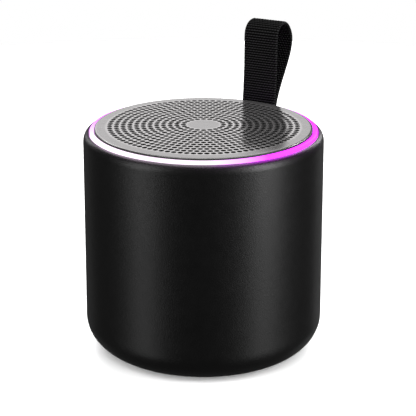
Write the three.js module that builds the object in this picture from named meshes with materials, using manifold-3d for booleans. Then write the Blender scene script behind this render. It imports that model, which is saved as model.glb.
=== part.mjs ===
// A small round portable speaker that fires upwards: a moulded can with a rubber foot, a light ring round an
// aluminium grille, a webbing strap on a bar at the rear, and a control panel with four buttons below it.
// Millimetres, +Z up. The origin is the centre of the foot's underside, and the strap and panel face +Y.

import * as THREE from 'three';
import { mergeVertices } from 'three/addons/utils/BufferGeometryUtils.js';
import Module from 'manifold-3d';

const wasm = await Module();
wasm.setup();

// ---------------------------------------------------------------- driving dimensions

const BODY_R = 37.5; // outside of the can
const PLATE_TOP = 74.2; // crown of the domed grille plate, above the table
const SHELL_BASE = 0.6; // the foot holds the can this far off the table
const WALL = 2.5; // wall of the can
const GAP = 0.1; // between neighbouring pieces

const SHELL_SIDES = 40;
const DRIVER_SIDES = 20;
const SMALL_SIDES = 8;

// the can
const BASE_FILLET_ACROSS = 14.25;
const BASE_FILLET_UP = 11.3;
const BASE_FLAT_R = BODY_R - BASE_FILLET_ACROSS;
const BASE_FILLET_Z = SHELL_BASE + BASE_FILLET_UP;
const SHOULDER_ACROSS = 1.85;
const SHOULDER_UP = 2.9;
const SHOULDER_TOP = PLATE_TOP - 1.95;
const RIM_R = BODY_R - SHOULDER_ACROSS;
const RIM_STEP_Z = SHOULDER_TOP - 1.85; // the ledge that carries the light ring
const INNER_R = BODY_R - WALL;
const FLOOR_Z = SHELL_BASE + WALL;
const FOOT_R = 21.8;
const FOOT_TOP = 1.4;

// grille, light ring and baffle, from the top down
const PLATE_R = 34.0;
const PLATE_T = 0.9;
const PLATE_BEVEL = 0.8; // width of the rolled edge, seen from above
const PLATE_CROWN = 0.58; // how far the dome rises from the rolled edge to its middle
const PLATE_RIM_Z = PLATE_TOP - PLATE_CROWN;
const SKIRT_BOTTOM = PLATE_TOP - 2.9;
const BAFFLE_LIP_T = 0.6;
const BAFFLE_WALL_IN = 31.8;
const BAFFLE_WALL_OUT = 33.2;
const BAFFLE_R = INNER_R - 0.2;
const SHELF_TOP = 65.2; // the driver's seat
const SHELF_T = 2.3;
const SHELF_HOLE_R = 24.6;
const LED_SEAT_Z = 66.0;
const LED_COUNT = 12;
const BAFFLE_SCREW_R = 30.0;
const BAFFLE_SCREW_ANGLES = [30, 150, 270];
const POST_R = 2.8;
const CABLE_SLOT_W = 3.4; // room beside the strap pocket for the LED cable

// the strap and its bar
const STRAP_W = 12.0;
const WEBBING_T = 1.1;
const BAR_R = 1.0;
const BAR_Y = 35.6;
const BAR_Z = 62.0;
const POCKET_W = 14.0;
const POCKET_H = 12.0;
const POCKET_FLOOR_Y = 33.0;
const POCKET_WALL = 1.5;

// the control panel and what is behind it
const PANEL_W = 12.0;
const PANEL_BOTTOM = 13.2;
const PANEL_TOP = 52.5;
const PANEL_R = BODY_R - 0.3;
const PANEL_BACK_R = 33.9;
const PANEL_FLANGE = 1.5; // how far the panel's flange laps behind the can's wall
const BUTTON_R = 2.6;
const BUTTON_COLLAR_R = 3.2;
const BUTTON_SEAT_Y = 35.9; // inside face that the button collars rest against
const BUTTONS = [
  ['power', 24.5],
  ['volume_down', 32.0],
  ['play', 39.5],
  ['volume_up', 47.0],
];
const LENS_Z = 20.0;
const USB_Z = 17.0;
const USB_W = 8.9;
const USB_H = 3.2;
const USB_MOUTH_Y = 36.7;
const BOARD_FRONT_Y = 29.1; // the face that carries the switches
const BOARD_T = 1.6;
const BOARD_BACK_Y = BOARD_FRONT_Y - BOARD_T;
const BOARD_HALF_W = 12.2;
const BOARD_SCREWS = [[-10.2, 50.2], [10.2, 13.8]]; // x, z

// the battery, which lies along X on the floor of the can
const CELL_R = 9.15;
const CELL_HALF_L = 32.5;
const CELL_Y = -1.5;
const CELL_Z = 16.5;
const CRADLE_SCREW_OFFSET = 13.2;
const CRADLE_TAB_Z = 8.0;

// the driver
const FLANGE_BOTTOM = SHELF_TOP + 0.5;
const FLANGE_TOP = FLANGE_BOTTOM + 1.0;
const FLANGE_R = 28.2;
const FLANGE_SCREW_R = 26.6;
const SURROUND_OUT = 24.4;
const CONE_OUT = 20.4;
const COIL_IN = 9.8;
const BASKET_FOOT_Z = 53.2;
const TOP_PLATE_T = 3.0;
const MAGNET_T = 8.0;
const MAGNET_R = 20.0;
const YOKE_T = 3.0;
const POLE_R = 9.5;
const TOP_PLATE_Z = BASKET_FOOT_Z - TOP_PLATE_T;
const MAGNET_Z = TOP_PLATE_Z - MAGNET_T;
const YOKE_Z = MAGNET_Z - YOKE_T;
const SPIDER_Z = 57.8;

// ---------------------------------------------------------------- solids

function solidOf(geometry) {
  const bare = geometry.clone();
  bare.deleteAttribute('normal');
  bare.deleteAttribute('uv');
  const merged = mergeVertices(bare);
  const corners = merged.index.array;
  const kept = [];
  for (let i = 0; i < corners.length; i += 3) {
    const [a, b, c] = [corners[i], corners[i + 1], corners[i + 2]];
    if (a !== b && b !== c && c !== a) kept.push(a, b, c);
  }
  return new wasm.Manifold(new wasm.Mesh({
    numProp: 3,
    vertProperties: Float32Array.from(merged.attributes.position.array),
    triVerts: Uint32Array.from(kept),
  }));
}

function geometryOf(solid) {
  const mesh = solid.getMesh();
  const geometry = new THREE.BufferGeometry();
  geometry.setAttribute('position', new THREE.BufferAttribute(mesh.vertProperties, 3));
  geometry.setIndex(new THREE.BufferAttribute(mesh.triVerts, 1));
  geometry.computeVertexNormals();
  return geometry;
}

function combine(operation, first, others) {
  const solid = others.reduce((whole, other) => whole[operation](solidOf(other)), solidOf(first));
  return geometryOf(solid);
}

const join = (first, ...others) => combine('add', first, others);
const cut = (first, ...others) => combine('subtract', first, others);
const common = (first, ...others) => combine('intersect', first, others);

// A solid of revolution about Z. The profile is [radius, z] points, counter-clockwise, from axis to axis.
function turned(profile, sides) {
  const points = profile.map(([r, z]) => new THREE.Vector2(r, z));
  return new THREE.LatheGeometry(points, sides).rotateX(Math.PI / 2);
}

// A ring of revolution about Z, whose profile closes on itself.
function turnedRing(profile, sides) {
  return turned([...profile, profile[0]], sides);
}

function washer(inner, outer, bottom, top, sides) {
  return turnedRing([[inner, bottom], [outer, bottom], [outer, top], [inner, top]], sides);
}

function block([x0, y0, z0], [x1, y1, z1]) {
  const geometry = new THREE.BoxGeometry(x1 - x0, y1 - y0, z1 - z0);
  return geometry.translate((x0 + x1) / 2, (y0 + y1) / 2, (z0 + z1) / 2);
}

// A round bar from one point to another.
function bar(radius, from, to, sides = SMALL_SIDES) {
  const start = new THREE.Vector3(...from);
  const end = new THREE.Vector3(...to);
  const along = end.clone().sub(start);
  const geometry = new THREE.CylinderGeometry(radius, radius, along.length(), sides);
  const turn = new THREE.Quaternion().setFromUnitVectors(new THREE.Vector3(0, 1, 0), along.normalize());
  const middle = start.add(end).multiplyScalar(0.5);
  return geometry.applyQuaternion(turn).translate(middle.x, middle.y, middle.z);
}

// A prism along Y whose section is a rectangle with fully rounded ends, centred on x = 0.
function pill(width, bottom, top, y0, y1) {
  const r = Math.min(width, top - bottom) / 2;
  const [left, right, low, high] = [-width / 2 + r, width / 2 - r, bottom + r, top - r];
  const shape = new THREE.Shape();
  shape.absarc(right, low, r, -Math.PI / 2, 0, false);
  shape.absarc(right, high, r, 0, Math.PI / 2, false);
  shape.absarc(left, high, r, Math.PI / 2, Math.PI, false);
  shape.absarc(left, low, r, Math.PI, 1.5 * Math.PI, false);
  const options = { depth: y1 - y0, bevelEnabled: false, curveSegments: 3 };
  return new THREE.ExtrudeGeometry(shape, options).rotateX(Math.PI / 2).translate(0, y1, 0);
}

// A prism along X, centred on x = 0, from a shape drawn in Y and Z.
function prismAlongX(shape, width, curveSegments = 8) {
  const geometry = new THREE.ExtrudeGeometry(shape, { depth: width, bevelEnabled: false, curveSegments });
  const yzToShape = new THREE.Matrix4().set(0, 0, 1, -width / 2, 1, 0, 0, 0, 0, 1, 0, 0, 0, 0, 0, 1);
  return geometry.applyMatrix4(yzToShape);
}

// A wire through a list of points.
function wire(radius, points) {
  const route = new THREE.CatmullRomCurve3(points.map((p) => new THREE.Vector3(...p)));
  const angles = [0, 45, 90, 135, 180, 225, 270, 315];
  const corners = angles.map((degrees) => new THREE.Vector2(...onCircle(radius, degrees)));
  const options = { steps: 9, extrudePath: route, bevelEnabled: false };
  return new THREE.ExtrudeGeometry(new THREE.Shape(corners), options);
}

// A pan-head screw that points down, with the underside of its head at z = 0.
function screw(length, shankR, headR) {
  const headH = headR * 0.7;
  const profile = [[0, -length], [shankR, -length], [shankR, 0], [headR, 0], [headR, headH], [0, headH]];
  return turned(profile, SMALL_SIDES);
}

const onCircle = (radius, degrees) => {
  const angle = THREE.MathUtils.degToRad(degrees);
  return [radius * Math.cos(angle), radius * Math.sin(angle)];
};

// Points of an elliptical arc in [radius, z], from one angle to another in degrees.
function ellipseArc(centreR, centreZ, across, up, fromDegrees, toDegrees, steps) {
  const points = [];
  for (let i = 0; i <= steps; i += 1) {
    const angle = THREE.MathUtils.degToRad(fromDegrees + ((toDegrees - fromDegrees) * i) / steps);
    points.push([centreR + across * Math.cos(angle), centreZ + up * Math.sin(angle)]);
  }
  return points;
}

// ---------------------------------------------------------------- housing

function outerShell() {
  const can = turned([
    [0, FOOT_TOP + GAP],
    [FOOT_R + 0.4, FOOT_TOP + GAP],
    [FOOT_R + 0.4, SHELL_BASE],
    ...ellipseArc(BASE_FLAT_R, BASE_FILLET_Z, BASE_FILLET_ACROSS, BASE_FILLET_UP, -90, 0, 6),
    ...ellipseArc(RIM_R, SHOULDER_TOP - SHOULDER_UP, SHOULDER_ACROSS, SHOULDER_UP, 0, 90, 3),
    [RIM_R, RIM_STEP_Z],
    [INNER_R, RIM_STEP_Z],
    ...ellipseArc(BASE_FLAT_R, BASE_FILLET_Z, BASE_FILLET_ACROSS - WALL, BASE_FILLET_UP - WALL, 0, -90, 4),
    [0, FLOOR_Z],
  ], SHELL_SIDES);

  const pocketBottom = BAR_Z - POCKET_H / 2;
  const pocketTop = BAR_Z + POCKET_H / 2;
  const pocketBoss = block(
    [-POCKET_W / 2 - POCKET_WALL, POCKET_FLOOR_Y - POCKET_WALL, pocketBottom - POCKET_WALL],
    [POCKET_W / 2 + POCKET_WALL, INNER_R, pocketTop + POCKET_WALL],
  );
  const pocket = block([-POCKET_W / 2, POCKET_FLOOR_Y, pocketBottom], [POCKET_W / 2, BODY_R + 1, pocketTop]);
  const seatHalf = POCKET_W / 2 + 1.4;
  const barSeat = bar(BAR_R + 0.02, [-seatHalf, BAR_Y, BAR_Z], [seatHalf, BAR_Y, BAR_Z], 24);
  const window = pill(PANEL_W + 0.4, PANEL_BOTTOM - 0.2, PANEL_TOP + 0.2, PANEL_BACK_R - 2, BODY_R + 1);

  const added = [pocketBoss];
  const removed = [pocket, barSeat, window];
  for (const degrees of BAFFLE_SCREW_ANGLES) {
    const [x, y] = onCircle(BAFFLE_SCREW_R, degrees);
    const postTop = SHELF_TOP - SHELF_T - GAP;
    const rib = block([BAFFLE_SCREW_R, -1, FLOOR_Z + 6], [INNER_R + 0.5, 1, postTop]);
    added.push(bar(POST_R, [x, y, FLOOR_Z + 2], [x, y, postTop]));
    added.push(rib.rotateZ(THREE.MathUtils.degToRad(degrees)));
    removed.push(bar(1.1, [x, y, postTop - 8], [x, y, postTop + 1]));
  }
  for (const side of [-1, 1]) {
    const y = CELL_Y + side * CRADLE_SCREW_OFFSET;
    added.push(bar(2.3, [0, y, FLOOR_Z - 0.5], [0, y, CRADLE_TAB_Z - GAP]));
    removed.push(bar(0.85, [0, y, FLOOR_Z], [0, y, CRADLE_TAB_Z + 1]));
  }
  for (const [x, z] of BOARD_SCREWS) {
    added.push(bar(1.9, [x, BOARD_FRONT_Y + GAP, z], [x, INNER_R, z]));
    removed.push(bar(0.85, [x, BOARD_FRONT_Y - 1, z], [x, BOARD_FRONT_Y + 4, z]));
  }
  return cut(join(can, ...added), ...removed);
}

function rubberFoot() {
  const edge = 0.5;
  const profile = [[0, 0], [FOOT_R - edge, 0], [FOOT_R, edge], [FOOT_R, FOOT_TOP], [0, FOOT_TOP]];
  return turned(profile, SHELL_SIDES);
}

// The tray under the grille: a shelf for the driver, a wall and lip for the plate, and a seat for the LEDs.
function baffle() {
  const shelfBottom = SHELF_TOP - SHELF_T;
  const lipBottom = SKIRT_BOTTOM - GAP - BAFFLE_LIP_T;
  const tray = turnedRing([
    [SHELF_HOLE_R, shelfBottom],
    [BAFFLE_R, shelfBottom],
    [BAFFLE_R, LED_SEAT_Z],
    [BAFFLE_WALL_OUT, LED_SEAT_Z],
    [BAFFLE_WALL_OUT, lipBottom],
    [PLATE_R, lipBottom],
    [PLATE_R, SKIRT_BOTTOM - GAP],
    [BAFFLE_WALL_IN, SKIRT_BOTTOM - GAP],
    [BAFFLE_WALL_IN, SHELF_TOP],
    [SHELF_HOLE_R, SHELF_TOP],
  ], SHELL_SIDES);
  const bosses = [];
  const holes = [];
  for (let i = 0; i < 4; i += 1) {
    const [x, y] = onCircle(FLANGE_SCREW_R, 45 + 90 * i);
    bosses.push(bar(2.2, [x, y, shelfBottom - 4], [x, y, shelfBottom + 0.5]));
    holes.push(bar(0.9, [x, y, shelfBottom - 3.5], [x, y, SHELF_TOP + 1]));
  }
  for (const degrees of BAFFLE_SCREW_ANGLES) {
    const [x, y] = onCircle(BAFFLE_SCREW_R, degrees);
    holes.push(bar(1.3, [x, y, shelfBottom - 1], [x, y, SHELF_TOP + 1]));
  }
  return cut(join(tray, ...bosses), strapNotch(CABLE_SLOT_W), ...holes);
}

// The space that the strap pocket takes, and beside it any room for the LED cable.
function strapNotch(cableRoom) {
  const half = POCKET_W / 2 + POCKET_WALL + 0.3;
  const top = BAR_Z + POCKET_H / 2 + POCKET_WALL + 0.3;
  return block([-half, POCKET_FLOOR_Y - POCKET_WALL - 0.3, 50], [half + cableRoom, BODY_R, top]);
}

function lightRing() {
  const legTop = SKIRT_BOTTOM - 2 * GAP - BAFFLE_LIP_T;
  const inner = PLATE_R + 0.15;
  const outer = RIM_R - GAP;
  return turnedRing([
    [BAFFLE_WALL_OUT + 0.15, legTop - 0.8],
    [INNER_R - 0.15, legTop - 0.8],
    [INNER_R - 0.15, RIM_STEP_Z + GAP],
    [outer, RIM_STEP_Z + GAP],
    [outer, SHOULDER_TOP + 0.05],
    [(inner + outer) / 2 + 0.15, SHOULDER_TOP + 0.75],
    [inner, PLATE_RIM_Z - 0.32],
    [inner, legTop],
    [BAFFLE_WALL_OUT + 0.15, legTop],
  ], SHELL_SIDES);
}

// A narrow ring-shaped board that stops either side of the strap pocket, with its LEDs facing up.
function ledBoard() {
  const bottom = LED_SEAT_Z + GAP;
  const top = bottom + 0.6;
  const strip = washer(BAFFLE_WALL_OUT + 0.2, BAFFLE_R - 0.1, bottom, top, SHELL_SIDES);
  const leds = [];
  for (let i = 0; i < LED_COUNT; i += 1) {
    const led = block([33.5, -1.0, top - 0.2], [34.4, 1.0, top + 0.9]);
    leds.push(led.rotateZ((2 * Math.PI * (i + 0.5)) / LED_COUNT));
  }
  return cut(join(strip, ...leds), strapNotch(0));
}

// A shallow dome with a rolled edge.
function grillePlate() {
  const domeR = PLATE_R - PLATE_BEVEL;
  const dome = [1, 0.6, 0].map((part) => [domeR * part, PLATE_TOP - PLATE_CROWN * part ** 2]);
  const underside = dome.map(([r, z]) => [r, z - PLATE_T]).reverse();
  return turned([
    ...underside.slice(0, -1),
    [PLATE_R - 1, PLATE_RIM_Z - PLATE_T],
    [PLATE_R - 1, SKIRT_BOTTOM],
    [PLATE_R, SKIRT_BOTTOM],
    [PLATE_R, PLATE_RIM_Z - 0.4],
    [PLATE_R - 0.25, PLATE_RIM_Z - 0.12],
    ...dome,
  ], SHELL_SIDES);
}

function grilleCloth() {
  const radius = BAFFLE_WALL_IN - 0.2;
  const top = PLATE_RIM_Z - PLATE_T - 2 * GAP;
  return turned([[0, top - 0.3], [radius, top - 0.3], [radius, top], [0, top]], DRIVER_SIDES);
}

// ---------------------------------------------------------------- strap

// The middle of the webbing in [y, z], up the speaker's side from where its layers part, and back down.
const STRAP_RUN = [
  [39.55, 71.9], [40.0, 77.2], [40.4, 83.0], [40.5, 90.0], [40.9, 94.8], [43.2, 97.1], [47.0, 97.4],
  [50.1, 95.4], [52.0, 92.0], [51.5, 87.8], [48.7, 83.4], [44.9, 78.6], [42.1, 74.6], [40.63, 71.6],
];

// Moves each point of a run sideways, to the left of its direction when the distance is positive.
function beside(points, distance) {
  return points.map((point, i) => {
    const before = points[Math.max(i - 1, 0)];
    const after = points[Math.min(i + 1, points.length - 1)];
    const along = after.clone().sub(before).normalize();
    return new THREE.Vector2(point.x - along.y * distance, point.y + along.x * distance);
  });
}

// One length of webbing round the bar. Its layers are sewn together as a tab, and part above it as a loop.
function strap() {
  const curve = new THREE.SplineCurve(STRAP_RUN.map(([y, z]) => new THREE.Vector2(y, z)));
  const run = curve.getPoints(39);
  const outside = beside(run, WEBBING_T / 2);
  const inside = beside(run, -WEBBING_T / 2);
  const eyeR = BAR_R + 0.1 + WEBBING_T;
  const bend = new THREE.Vector2(38.88, 67.65); // middle of the tab, level with the pocket's upper edge
  const tabTurn = Math.atan2(bend.y - BAR_Z, bend.x - BAR_Y);

  const outline = new THREE.Shape();
  outline.moveTo(bend.x - WEBBING_T, bend.y + 0.25);
  outside.forEach((point) => outline.lineTo(point.x, point.y));
  outline.lineTo(bend.x + WEBBING_T, bend.y - 0.25);
  outline.absarc(BAR_Y, BAR_Z, eyeR, tabTurn - 1.1, tabTurn + 1.1, true);
  outline.closePath();

  outline.holes.push(new THREE.Path(inside.slice(2, -2).reverse()));
  const eye = bar(BAR_R + 0.1, [-STRAP_W, BAR_Y, BAR_Z], [STRAP_W, BAR_Y, BAR_Z], 24);
  return cut(prismAlongX(outline, STRAP_W, 12), eye);
}

function strapBar() {
  const half = POCKET_W / 2 + 1.3;
  return bar(BAR_R, [-half, BAR_Y, BAR_Z], [half, BAR_Y, BAR_Z], 24);
}

// ---------------------------------------------------------------- control panel and electronics

function controlPanel() {
  const thick = washer(PANEL_BACK_R, PANEL_R, 0, PLATE_TOP, SHELL_SIDES);
  const thin = washer(PANEL_BACK_R, INNER_R - GAP, 0, PLATE_TOP, SHELL_SIDES);
  const face = common(thick, pill(PANEL_W, PANEL_BOTTOM, PANEL_TOP, 20, 50));
  const flangeW = PANEL_W + 2 * PANEL_FLANGE;
  const flange = common(thin, pill(flangeW, PANEL_BOTTOM - PANEL_FLANGE, PANEL_TOP + PANEL_FLANGE, 20, 50));
  const holes = BUTTONS.flatMap(([, z]) => [
    bar(BUTTON_R + 0.2, [0, 30, z], [0, 40, z], 16),
    bar(BUTTON_COLLAR_R + 0.25, [0, 30, z], [0, BUTTON_SEAT_Y, z], 16),
  ]);
  const lensHole = bar(0.75, [0, 30, LENS_Z], [0, 40, LENS_Z]);
  const microphoneHole = bar(0.45, [0, 30, PANEL_TOP - 1.7], [0, 40, PANEL_TOP - 1.7], 8);
  const usbSlot = pill(USB_W + 0.4, USB_Z - USB_H / 2 - 0.2, USB_Z + USB_H / 2 + 0.2, 30, 40);
  return cut(join(face, flange), ...holes, lensHole, microphoneHole, usbSlot);
}

// A cap with a collar that keeps it behind the panel, and a stem that reaches the switch.
function button(z) {
  const collarY = BUTTON_SEAT_Y - GAP;
  const cap = bar(BUTTON_R, [0, collarY - 0.4, z], [0, PANEL_R + 0.6, z], 16);
  const collar = bar(BUTTON_COLLAR_R, [0, collarY - 0.8, z], [0, collarY, z], 16);
  const stem = bar(1.2, [0, 33.4, z], [0, collarY - 0.6, z]);
  return join(cap, collar, stem);
}

const SWITCH_TOP_Y = 32.4;

function switchHousing(z) {
  const housing = block([-2.3, BOARD_FRONT_Y, z - 2.3], [2.3, SWITCH_TOP_Y, z + 2.3]);
  return cut(housing, bar(1.25, [0, SWITCH_TOP_Y - 1, z], [0, SWITCH_TOP_Y + 1, z]));
}

function switchPlunger(z) {
  return bar(1.1, [0, SWITCH_TOP_Y - 0.45, z], [0, 33.35, z]);
}

function statusLens() {
  return bar(0.65, [0, 33.0, LENS_Z], [0, PANEL_R - 0.1, LENS_Z]);
}

function usbPort() {
  const wall = 0.35;
  const [low, high] = [USB_Z - USB_H / 2, USB_Z + USB_H / 2];
  const mouth = pill(USB_W - 2 * wall, low + wall, high - wall, BOARD_FRONT_Y + 1.2, USB_MOUTH_Y + 1);
  return cut(pill(USB_W, low, high, BOARD_FRONT_Y, USB_MOUTH_Y), mouth);
}

function usbTongue() {
  return block([-3.3, BOARD_FRONT_Y + 1.2, USB_Z - 0.35], [3.3, USB_MOUTH_Y - 0.8, USB_Z + 0.35]);
}

function mainBoard() {
  const board = block([-BOARD_HALF_W, BOARD_BACK_Y, 10], [BOARD_HALF_W, BOARD_FRONT_Y, 53.5]);
  const holes = BOARD_SCREWS.map(([x, z]) => bar(1.0, [x, BOARD_BACK_Y - 1, z], [x, BOARD_FRONT_Y + 1, z]));
  return cut(board, ...holes);
}

function bluetoothModule() {
  const board = block([-6, BOARD_BACK_Y - 0.8, 34], [6, BOARD_BACK_Y, 50]);
  const can = block([-5.2, BOARD_BACK_Y - 2.4, 34.8], [5.2, BOARD_BACK_Y - 0.7, 45]);
  return join(board, can);
}

function amplifierChip() {
  return block([-2.6, BOARD_BACK_Y - 1.2, 25.4], [2.6, BOARD_BACK_Y, 30.6]);
}

function batteryConnector() {
  return block([-4, BOARD_BACK_Y - 4, 13.5], [4, BOARD_BACK_Y, 19]);
}

// A thin ribbon that carries power from the main board up to the LEDs, just beside the strap pocket.
function ledCable() {
  const route = [[29.4, 51.2], [29.4, 53.9], [31.0, 58.5], [32.2, 63.0], [32.2, 65.9]];
  const run = route.map(([y, z]) => new THREE.Vector2(y, z));
  const ribbon = new THREE.Shape([...beside(run, 0.15), ...beside(run, -0.15).reverse()]);
  return prismAlongX(ribbon, 1.8);
}

// ---------------------------------------------------------------- battery

function batteryCell() {
  return bar(CELL_R, [-CELL_HALF_L, CELL_Y, CELL_Z], [CELL_HALF_L, CELL_Y, CELL_Z], 32);
}

function batteryCradle() {
  const half = 21;
  const side = 10.6;
  const saddle = block([-half, CELL_Y - side, FLOOR_Z + 0.2], [half, CELL_Y + side, CELL_Z - 2]);
  const bed = bar(CELL_R + 0.85, [-half - 1, CELL_Y, CELL_Z], [half + 1, CELL_Y, CELL_Z], 32);
  const tabs = [];
  const holes = [];
  for (const sign of [-1, 1]) {
    const screwY = CELL_Y + sign * CRADLE_SCREW_OFFSET;
    const [low, high] = [CELL_Y + sign * (side - 0.5), screwY + sign * 2.6].sort((a, b) => a - b);
    tabs.push(block([-4, low, CRADLE_TAB_Z], [4, high, CRADLE_TAB_Z + 1.5]));
    holes.push(bar(1.0, [0, screwY, CRADLE_TAB_Z - 1], [0, screwY, CRADLE_TAB_Z + 3]));
  }
  return cut(join(saddle, ...tabs), bed, ...holes);
}

function batteryPad() {
  const pad = new THREE.Shape();
  pad.absarc(CELL_Y, CELL_Z, CELL_R + 0.75, -2.3, -0.84, false);
  pad.absarc(CELL_Y, CELL_Z, CELL_R + 0.1, -0.84, -2.3, true);
  return prismAlongX(pad, 38);
}

// ---------------------------------------------------------------- driver

function driverBasket() {
  const t = 1.2;
  const footOut = 18.6;
  const shoulder = SURROUND_OUT + 0.9;
  const frame = turnedRing([
    [11.6, BASKET_FOOT_Z],
    [footOut, BASKET_FOOT_Z],
    [footOut + 1.6, SPIDER_Z + 0.4],
    [shoulder - 1.0, FLANGE_BOTTOM - GAP - 1.6],
    [shoulder - 1.0, FLANGE_BOTTOM],
    [FLANGE_R, FLANGE_BOTTOM],
    [FLANGE_R, FLANGE_TOP],
    [shoulder - 2.6, FLANGE_TOP],
    [shoulder - 2.6, FLANGE_BOTTOM - 1.4],
    [footOut + 0.2, SPIDER_Z + 0.4],
    [footOut - 1.6, SPIDER_Z - 0.4],
    [footOut - t, BASKET_FOOT_Z + 1],
    [11.6, BASKET_FOOT_Z + 1],
  ], DRIVER_SIDES);
  const windows = [];
  for (let i = 0; i < 4; i += 1) {
    const opening = block([15, -6.5, SPIDER_Z + 0.9], [30, 6.5, FLANGE_BOTTOM - 1.6]);
    windows.push(opening.rotateZ((Math.PI / 2) * i));
  }
  const holes = [0, 1, 2, 3].map((i) => {
    const [x, y] = onCircle(FLANGE_SCREW_R, 45 + 90 * i);
    return bar(1.0, [x, y, FLANGE_BOTTOM - 1], [x, y, FLANGE_TOP + 1]);
  });
  return cut(frame, ...windows, ...holes);
}

function driverGasket() {
  const holes = [0, 1, 2, 3].map((i) => {
    const [x, y] = onCircle(FLANGE_SCREW_R, 45 + 90 * i);
    return bar(1.1, [x, y, SHELF_TOP - 1], [x, y, FLANGE_BOTTOM + 1]);
  });
  const ring = washer(SHELF_HOLE_R + 0.1, FLANGE_R, SHELF_TOP + 0.05, FLANGE_BOTTOM - 0.05, DRIVER_SIDES);
  return cut(ring, ...holes);
}

function topPlate() {
  return washer(10.9, MAGNET_R - 2, TOP_PLATE_Z, BASKET_FOOT_Z - 0.02, DRIVER_SIDES);
}

function ringMagnet() {
  return washer(11.4, MAGNET_R, MAGNET_Z, TOP_PLATE_Z - 0.02, DRIVER_SIDES);
}

// The back plate with the pole that stands up through the magnet.
function yoke() {
  return turned([
    [0, YOKE_Z],
    [MAGNET_R - 2, YOKE_Z],
    [MAGNET_R - 2, MAGNET_Z - 0.02],
    [POLE_R, MAGNET_Z - 0.02],
    [POLE_R, BASKET_FOOT_Z],
    [0, BASKET_FOOT_Z],
  ], DRIVER_SIDES);
}

// The former and its winding, which stands in the gap between the pole and the top plate.
function voiceCoil() {
  return turnedRing([
    [COIL_IN, 47.5],
    [COIL_IN + 0.7, 47.5],
    [COIL_IN + 0.7, 54.8],
    [COIL_IN + 0.3, 54.8],
    [COIL_IN + 0.3, 61.2],
    [COIL_IN, 61.2],
  ], DRIVER_SIDES);
}

function cone() {
  const t = 0.5;
  const neck = COIL_IN + 0.4;
  const [neckZ, rimZ] = [59.2, FLANGE_TOP + 0.2];
  const section = [[neck, neckZ], [CONE_OUT, rimZ - t], [CONE_OUT, rimZ], [neck, neckZ + t + 0.4]];
  return turnedRing(section, DRIVER_SIDES);
}

function dustCap() {
  const rim = COIL_IN + 0.2;
  const [base, rise, t] = [61.4, 3.0, 0.4];
  return turned([
    ...ellipseArc(0, base, rim, rise, 0, 90, 4).reverse().map(([r, z]) => [Math.max(r - t, 0), z - t]),
    ...ellipseArc(0, base, rim, rise, 0, 90, 4),
  ], DRIVER_SIDES);
}

// A half-roll of rubber from the cone's rim to the basket.
function surround() {
  const middle = (CONE_OUT + SURROUND_OUT) / 2;
  const r = (SURROUND_OUT - CONE_OUT) / 2;
  const z = FLANGE_TOP + 0.25;
  const t = 0.45;
  return turnedRing([
    [CONE_OUT - 1.2, z],
    ...ellipseArc(middle, z, r - t, r - t, 180, 0, 5),
    [SURROUND_OUT + 0.55, z],
    [SURROUND_OUT + 0.55, z + t],
    ...ellipseArc(middle, z, r, r, 13, 167, 5),
    [CONE_OUT - 1.2, z + t],
  ], DRIVER_SIDES);
}

function spider() {
  return washer(COIL_IN + 0.4, 16.6, SPIDER_Z - 0.2, SPIDER_Z + 0.2, DRIVER_SIDES);
}

// The small board on the basket's side where the speaker leads are soldered.
function terminalStrip() {
  const strip = block([-4.5, 20.8, 54.6], [4.5, 22.0, 57.4]);
  const tabs = [-2.5, 2.5].map((x) => block([x - 0.9, 21.2, 53.2], [x + 0.9, 21.7, 55]));
  return join(strip, ...tabs);
}

// ---------------------------------------------------------------- materials

function finish(color, roughness, metalness = 0) {
  return new THREE.MeshStandardMaterial({ color, roughness, metalness });
}

const blackPaint = finish(0x121213, 0.55);
const blackRubber = finish(0x0c0c0c, 0.85);
const blackPlastic = finish(0x1a1a1b, 0.6);
const satinAluminium = finish(0xb8b4b4, 0.35, 1);
const blackCloth = finish(0x101010, 0.95);
const webbing = finish(0x161617, 0.9);
const litAcrylic = finish(0xf6a8ff, 0.3);
const clearAcrylic = finish(0xdfe6ea, 0.2);
const boardGreen = finish(0x14432b, 0.5);
const steel = finish(0xb9babc, 0.3, 1);
const zincPlate = finish(0xa9abad, 0.4, 1);
const ferrite = finish(0x2b2b2d, 0.7);
const paper = finish(0x1b1a19, 0.9);
const copper = finish(0xb8693a, 0.35, 1);
const spiderCloth = finish(0xb58a3d, 0.9);
const foam = finish(0x2a2a2b, 1);
const cellWrap = finish(0x2f6fb4, 0.35);
const ivoryPlastic = finish(0xe8e2d2, 0.5);
const redWire = finish(0xb3201c, 0.45);
const blackWire = finish(0x151515, 0.45);
const amberFilm = finish(0xa4601c, 0.4);

// ---------------------------------------------------------------- assembly

const speaker = new THREE.Group();

function place(name, geometry, material, position = [0, 0, 0], turnX = 0) {
  const mesh = new THREE.Mesh(geometry, material);
  mesh.name = name;
  mesh.position.set(...position);
  mesh.rotation.x = turnX;
  speaker.add(mesh);
}

place('outer_shell', outerShell(), blackPaint);
place('rubber_foot', rubberFoot(), blackRubber);
place('baffle', baffle(), blackPlastic);
place('light_ring', lightRing(), litAcrylic);
place('led_board', ledBoard(), boardGreen);
place('grille_plate', grillePlate(), satinAluminium);
place('grille_cloth', grilleCloth(), blackCloth);
BAFFLE_SCREW_ANGLES.forEach((degrees, i) => {
  const [x, y] = onCircle(BAFFLE_SCREW_R, degrees);
  place(`baffle_screw_${i + 1}`, screw(9, 1.05, 1.6), zincPlate, [x, y, SHELF_TOP + GAP]);
});

place('strap_bar', strapBar(), steel);
place('strap', strap(), webbing);

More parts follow.
